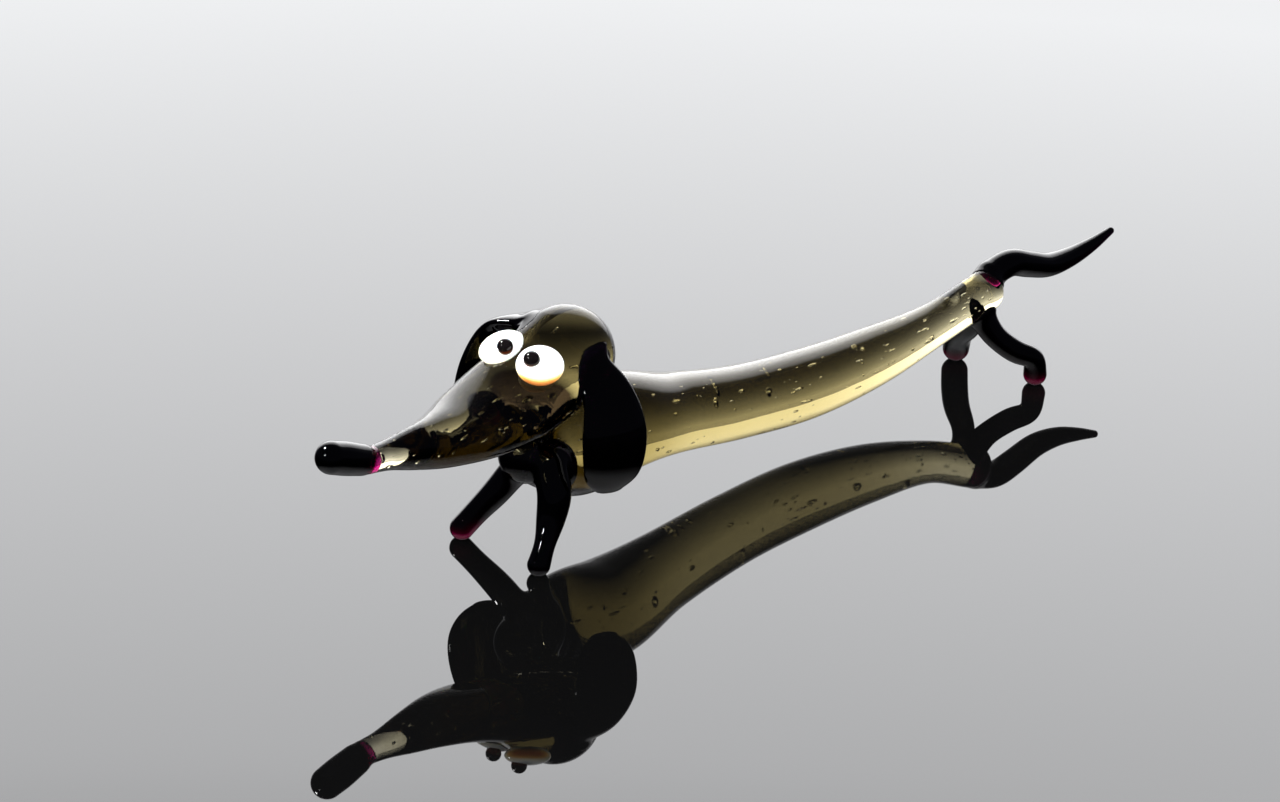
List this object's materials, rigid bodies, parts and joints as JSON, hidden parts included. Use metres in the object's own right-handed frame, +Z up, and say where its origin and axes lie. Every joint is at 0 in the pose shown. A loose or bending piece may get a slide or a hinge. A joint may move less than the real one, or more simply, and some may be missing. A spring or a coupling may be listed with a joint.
{
  "type": "glass dog figurine",
  "caption": "Lampworked glass dachshund figurine with a long clear torso, drooping dark ears and bead eyes, standing on its own feet as a shelf ornament.",
  "frame": {"origin": "on the surface it stands on, under the centre of the whole dog's bounding box", "axes": "+X from nose to tail, +Z up, so that -Y is the dog's left side"},
  "size_m": [0.1122, 0.0188, 0.0229],
  "materials": {
    "yellow_glass": "fire-polished transparent straw-yellow glass with small trapped bubbles",
    "dark_glass": "fire-polished near-black ruby glass, crimson where thin",
    "opal_white": "fire-polished opaque white glass with an amber edge",
    "pupil_glass": "fire-polished dark brown bead"
  },
  "bodies": {
    "root": {"torso": "yellow_glass", "head": "yellow_glass", "nose": "dark_glass", "ear_left": "dark_glass", "ear_right": "dark_glass", "eye_left": "opal_white", "eye_right": "opal_white", "pupil_left": "pupil_glass", "pupil_right": "pupil_glass", "foreleg_left": "dark_glass", "foreleg_right": "dark_glass", "hindleg_left": "dark_glass", "hindleg_right": "dark_glass", "tail": "dark_glass"}
  },
  "joints": []
}
